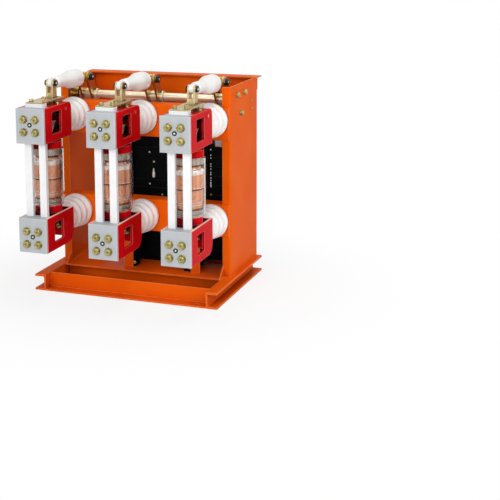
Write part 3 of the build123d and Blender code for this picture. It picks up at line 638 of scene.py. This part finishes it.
pin_y, pin_z, clevis_half = -166.0, 719.0, 12.6
circlip = turned([(10.0, 0.0), (10.4, 0.4), (10.4, 4.9), (9.9, 5.4), (4.2, 5.4), (3.5, 4.7)], 36)
pin_tip = turned([(3.3, 0.0), (3.3, 0.8), (2.7, 1.3)], 24)
washer = turned([(6.1, 0.0), (10.4, 0.0), (10.8, 0.4), (10.8, 1.2), (10.4, 1.6), (6.1, 1.6)], 36)
for side, x in zip(sides, poles):
    for name, shape, off, finish, slot in (
            ("washers", washer, 0.0, pale, "yellow_zinc"),
            ("clips", circlip, 1.7, dark_steel, "black_mechanism"),
            ("pin_tips", pin_tip, 6.4, bright_steel, "yellow_zinc")):
        fit(f"{side}_lever_{name}", both_ends(shape, [x], clevis_half + off, pin_y, pin_z),
            finish, f"{side}_lever")

# The drive. Shaft, hubs and bearings are turned steel, bright zinc with a cream cast; the cranks
# are cut plate, passivated yellow. Washers and black clips hold each crank pin, and two black
# screws lock each pair of cranks on the shaft.
hub_radius = 0.0195
bright, tree, principled = coat_of("bright_zinc", Specular_IOR_Level=0.6)
tones = blend_of(tree, grain(tree, 40.0, 3.0), (242, 230, 192), (250, 243, 218))
# Painted shade darkens the shaft in corners.
tones = painted_corner_shading(tree, tones, (92, 80, 40), 0.008, 0.9)
place = shader_node(tree, "SeparateXYZ", {0: own_place(tree)}).outputs
cut_plate = beyond(tree, place, (shaft_y / 1000, shaft_z / 1000), hub_radius)
tones = laid_over(tree, cut_plate, tones, linear(196, 168, 104))
plated = shader_node(tree, "MapRange", {0: cut_plate, 3: 0.6, 4: 1.0}).outputs[0]
tree.links.new(plated, principled.inputs["Metallic"])
# A painted highlight pales the shaft's edges.
mottle(tree, principled, painted_edge_highlight(tree, tones, (255, 250, 236), 0.0008, 0.5), (0.26, 0.36))
relief(tree, principled, grain(tree, 500.0, 2.0), 0.00003, 0.0008)
clothe(["main_shaft", "shaft_bearings"], bright)

crank_y, crank_z, crank_half = 89.1, 709.5, 21.6
crank_washer = turned([(8.1, 0.0), (12.6, 0.0), (13.0, 0.4), (13.0, 2.6), (12.6, 3.0),
                       (8.1, 3.0)], 36)
crank_clip = turned([(11.6, 0.0), (12.0, 0.4), (12.0, 8.6), (11.4, 9.2), (4.4, 9.2),
                     (3.6, 8.4)], 36)
for name, shape, off, finish, slot in (
        ("crank_washers", crank_washer, 0.0, yellow, "shaft_zinc"),
        ("crank_pin_tips", pin_tip, 12.5, bright_steel, "shaft_zinc"),
        ("crank_clips", crank_clip, 4.4, dark_steel, "black_mechanism")):
    fit(name, both_ends(shape, poles, crank_half + off, crank_y, crank_z), finish, "main_shaft")
grub_screw = turned([(3.2, 0.0), (3.4, 0.4), (3.4, 2.6), (3.0, 3.0), (1.8, 3.0), (1.6, 1.2)], 24)
on_hub, off_middle, out_y, out_z = 19.0, 26.0, -0.5, 0.866
fit("hub_screws", set_at(grub_screw, [
    (x + dx, shaft_y + on_hub * out_y, shaft_z + on_hub * out_z) for x in poles
    for dx in (-off_middle, off_middle)], (0.0, out_y, out_z)),
    dark_steel, "main_shaft")

# The mechanism. A closed spring drive in black sheet with its auxiliary switch beside it: pin
# ends and a nylon stop towards the poles, buttons, flag and winding socket on the other side.
# Black bolts hold its plates, and the switch has a column of contacts and a pale plug.
black, tree, principled = coat_of("black_mechanism", Specular_IOR_Level=0.04)
tones = blend_of(tree, grain(tree, 30.0, 3.0), (7, 10, 11), (13, 16, 17))
# A painted highlight pales the black plates' edges to grey.
mottle(tree, principled, painted_edge_highlight(tree, tones, (70, 78, 84), 0.0012, 0.6), (0.38, 0.5))
relief(tree, principled, grain(tree, 800.0, 1.0), 0.00005, 0.0008)
clothe(["mechanism_body", "mechanism_plates", "auxiliary_switch"], black)

core_front = 133.0
pin_places = ((-22.0, 446.0), (-22.0, 332.0), (24.5, 296.0), (-5.5, 412.0), (150.0, 446.0),
              (150.0, 332.0), (104.0, 296.0))
pin_end = turned([(2.9, 0.0), (2.9, 3.0), (2.4, 3.8), (1.0, 4.0)], 24)
fit("mechanism_pins", set_at(pin_end, [(x, core_front, z) for x, z in pin_places], (0, -1, 0)),
    bright_steel, "frame")
stop_place = (-6.0, core_front - 5.3, 356.0)
stop = turned([(2.2, 0.0), (4.1, 1.0), (4.8, 4.0), (4.8, 16.0), (3.9, 20.0), (2.2, 25.0),
               (1.6, 32.0), (1.1, 33.0)], 28)
fit("mechanism_stop", set_at(stop, [stop_place], (0, 0, 1)), laminate, "frame")

left_plate, right_plate, plate_rows = -84.0, 202.0, (112.0, 340.0, 500.0)
left_front, right_front, plate_back = 136.0, 150.0, 284.0
left_bolts = [(left_plate, y, z) for y in (left_front, plate_back) for z in plate_rows]
right_bolts = [(right_plate, plate_back, z) for z in plate_rows]
right_bolts.append((right_plate, right_front, plate_rows[-1]))
fit("plate_bolts", joined(set_at(hexagon_screw(10.0), left_bolts, (-1, 0, 0)),
                          set_at(hexagon_screw(10.0), right_bolts, (1, 0, 0))),
    dark_steel, "frame")

switch_x, switch_front = 208.5, 124.0
contact_rows = (469.0, 450.0, 440.0, 419.0, 411.0, 401.0, 389.0, 382.0, 370.0, 361.0, 353.0, 348.5,
                344.0, 339.5, 280.0, 247.0, 214.0, 181.0)
contact = turned([(2.2, 0.0), (2.4, 0.4), (2.4, 2.0), (1.9, 2.6), (0.8, 2.6)], 20)
fit("switch_contacts", set_at(contact, [(switch_x, switch_front, z) for z in contact_rows],
                              (0, -1, 0)), bright_steel, "frame")


def rounded_outline(width, height, corner, around=8):
    """Corner arcs of a rectangle: each is centre + corner (cos a, sin a), a over a quarter turn."""
    quarter = np.linspace(0, np.pi / 2, around)
    parts = []
    for step, (u, v) in enumerate(((1, 1), (-1, 1), (-1, -1), (1, -1))):
        angle = quarter + step * np.pi / 2
        parts.append(np.stack([u * (width / 2 - corner) + corner * np.cos(angle),
                               v * (height / 2 - corner) + corner * np.sin(angle)], -1))
    return np.concatenate(parts)


def tablet(width, height, thick, corner, edge=0.6):
    """Flat piece with rounded corners, standing on z = 0: its outline at three heights.

    The third outline is smaller by edge all round and lies edge above the second, as a bevel.
    """
    rings = []
    for inset, z in ((0.0, 0.0), (0.0, thick - edge), (edge, thick)):
        flat = rounded_outline(width - 2 * inset, height - 2 * inset, max(corner - inset, 0.2))
        rings.append(np.column_stack([flat, np.full(len(flat), z)]))
    return skin(np.stack(rings))


plug = even_finish("grey_plug", (240, 240, 234), (246, 246, 240), (40.0, 3.0), (0.4, 0.5),
                   (900.0, 1.0), 0.00004, 0.0008)
plug_x, plug_y, plug_foot, plug_shoulder = 232.5, 152.0, 478.0, 500.0
plug_body = tablet(25.0, 38.0, plug_shoulder - plug_foot, 3.0, 1.5)
plug_neck = tablet(19.0, 30.0, 6.0, 3.0, 1.5)
fit("switch_plug", joined(set_at(plug_body, [(plug_x, plug_y, plug_foot)], (0, 0, 1)),
                          set_at(plug_neck, [(plug_x, plug_y, plug_shoulder)], (0, 0, 1))),
    plug, "frame")
fit("switch_earth_screw", set_at(hexagon_screw(4.0), [(switch_x, switch_front, 311.0)], (0, -1, 0)),
    yellow, "frame")

operator_x, operator_face, cap_seat, flag_seat = 59.0, 299.0, 306.0, 295.0
button_off, button_z, flag_z, boss_z = 30.0, 403.0, 336.0, 223.0
green = even_finish("green_cap", (20, 120, 60), (26, 132, 68), (50.0,), (0.3, 0.4), (900.0, 1.0),
                    0.00003)
scarlet = even_finish("red_cap", (190, 16, 20), (202, 22, 26), (50.0,), (0.3, 0.4), (900.0, 1.0),
                      0.00003)
cap = turned([(11.4, -1.0), (12.4, 0.0), (12.4, 1.4), (11.6, 2.4), (8.0, 3.0), (3.0, 3.2)], 40)
for name, dx, finish in (("close_button", button_off, green),
                         ("trip_button", -button_off, scarlet)):
    fit(name, set_at(cap, [(operator_x + dx, cap_seat, button_z)], (0, 1, 0)), finish, "frame")
button_rim = turned([(13.2, 0.0), (17.5, 0.0), (17.5, 2.0), (16.5, 3.0), (14.0, 3.0),
                     (13.2, 2.2)], 40)
boss_rim = turned([(21.2, 0.0), (27.0, 0.0), (27.0, 2.2), (26.0, 3.2), (22.0, 3.2),
                   (21.2, 2.4)], 48)
wide_bar, tall_bar = tablet(52, 5, 2.5, 1.2), tablet(5, 26, 2.5, 1.2)
rims = ((wide_bar, 0.0, flag_z + 15.5), (wide_bar, 0.0, flag_z - 15.5), (tall_bar, 24.5, flag_z),
        (tall_bar, -24.5, flag_z), (button_rim, -button_off, button_z),
        (button_rim, button_off, button_z), (boss_rim, 0.0, boss_z))
fit("operator_rims", joined(*[set_at(rim, [(operator_x + dx, operator_face, z)], (0, 1, 0))
                              for rim, dx, z in rims]), bright_steel, "frame")
fit("position_flag", set_at(tablet(40.0, 22.0, 1.6, 1.5), [(operator_x, flag_seat, flag_z)],
                            (0, 1, 0)), green, "frame")
fit("operator_screws", set_at(hexagon_screw(6.0), [
    (x, operator_face, z) for x in (-54.0, 172.0) for z in (104.0, 290.0, 474.0)], (0, 1, 0)),
    bright_steel, "frame")

# The interrupters. A glass envelope stands round spun copper shields in two steps, between steel
# end caps. Bands of painted highlight and painted shade run round the beads, grooves and the
# upper shoulder, and streaks of painted reflection run down the copper. The clear glass holds back
# no lamp light from what is behind it.
glass, tree, principled = coat_of("clear_glass", Transmission_Weight=1.0, IOR=1.3, Roughness=0.0,
                                  Specular_IOR_Level=0.2)
clothe([f"{side}_glass_envelope" for side in sides], glass)
for side in sides:
    solid[f"{side}_glass_envelope"].visible_shadow = False

metal, tree, principled = coat_of("interrupter_metal", Metallic=0.6)
lowest, highest = 0.24, 0.52
height = shader_node(tree, "SeparateXYZ", {0: own_place(tree)}).outputs["Z"]
height = shader_node(tree, "MapRange", {0: height, 1: lowest, 2: highest}).outputs[0]
ramp = shader_node(tree, "ValToRGB", {0: height})
bands = ramp.color_ramp
bands.interpolation = "CONSTANT"
stem_tone, steel_tone, shaded_steel = (206, 140, 104), (188, 174, 160), (120, 112, 104)
copper_tone, painted_shade_tone = (242, 168, 128), (112, 58, 36)
painted_highlight_tone, painted_bead_highlight = (255, 244, 238), (255, 216, 188)
# Bright bands are painted highlights and dark bands, the shaded steel among them, painted shade;
# the rest are the metals' own tones.
zones = ((0.240, stem_tone), (0.318, steel_tone), (0.3275, shaded_steel), (0.329, steel_tone),
         (0.340, painted_shade_tone), (0.346, copper_tone), (0.3555, painted_highlight_tone), (0.359, copper_tone),
         (0.3645, painted_highlight_tone), (0.367, copper_tone), (0.406, painted_shade_tone), (0.4115, painted_bead_highlight),
         (0.4145, copper_tone), (0.456, painted_highlight_tone), (0.4745, copper_tone), (0.480, painted_shade_tone),
         (0.4865, steel_tone))
while len(bands.elements) < len(zones):
    bands.elements.new(0.5)
for point, (z, colour) in zip(bands.elements, zones):
    point.position, point.color = (z - lowest) / (highest - lowest), linear(*colour)
# Painted reflection: faint vertical streaks, darker and lighter, run down the copper.
painted_reflection_streaks = blend_of(tree, grain(tree, 70.0, 3.0, (1.0, 1.0, 0.02)), (210, 196, 186), (255, 255, 255),
                 (0.36, 0.54))
tones = laid_over(tree, 1.0, ramp.outputs[0], painted_reflection_streaks, blend_type="MULTIPLY")
mottle(tree, principled, tones, (0.22, 0.32))
relief(tree, principled, grain(tree, 500.0, 2.0), 0.00002)
clothe([f"{side}_interrupter" for side in sides], metal)

# The moving stems and their connectors. The stem is bare copper; a pack of thin tinned copper
# leaves carries the current from its clamp to the back of the terminal.
stem = even_finish("stem_copper", (206, 138, 100), (220, 156, 118), (60.0, 3.0), (0.26, 0.36),
                   (700.0, 2.0), 0.00002, Metallic=1.0)
clothe([f"{side}_moving_stem" for side in sides], stem)
tinned = even_finish("tinned_copper", (206, 176, 164), (238, 220, 212),
                     (220.0, 3.0, (1.0, 1.0, 0.1)), (0.36, 0.48), (900.0, 2.0), 0.00002,
                     Metallic=0.6)
leaf_start, leaf_foot, leaf_span, leaf_rise = -275.8, 586.0, 70.0, 14.0


def leaf(drop, x_half, thick=1.1, steps=26):
    """One leaf of the connector, hanging in a bow between the terminal and the clamp.

    At share s its y runs evenly from the terminal to the clamp, and its height is that of the
    straight line between both less drop sin(pi s) squared. Its section is a flat rectangle, as
    wide along x as twice x_half.
    """
    s = np.linspace(0, 1, steps)
    y = leaf_start + leaf_span * s
    z = leaf_foot + leaf_rise * s - drop * np.sin(np.pi * s) ** 2
    slope = np.stack([np.gradient(y), np.gradient(z)], -1)
    slope /= np.linalg.norm(slope, axis=1)[:, None]
    across = np.stack([-slope[:, 1], slope[:, 0]], -1) * thick / 2
    corners = [(-x_half, 1), (x_half, 1), (x_half, -1), (-x_half, -1)]
    rings = np.stack([np.stack([np.full(steps, u), y + v * across[:, 0], z + v * across[:, 1]], -1)
                      for u, v in corners], 1)
    return skin(rings)


leaves, least_drop, drop_step, leaf_half = 8, 12.0, 2.2, 35.0
points, faces = joined(*[leaf(least_drop + drop_step * n, leaf_half) for n in range(leaves)],
                       set_at(tablet(66.0, 20.0, 5.0, 2.0), [(0.0, -276.0, 590.0)], (0, 1, 0)))
for side, x in zip(sides, poles):
    moved = points + np.array([x, 0.0, 0.0])
    connector = made_piece(f"{side}_flexible_connector", (moved, faces), tinned)
    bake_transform(connector)
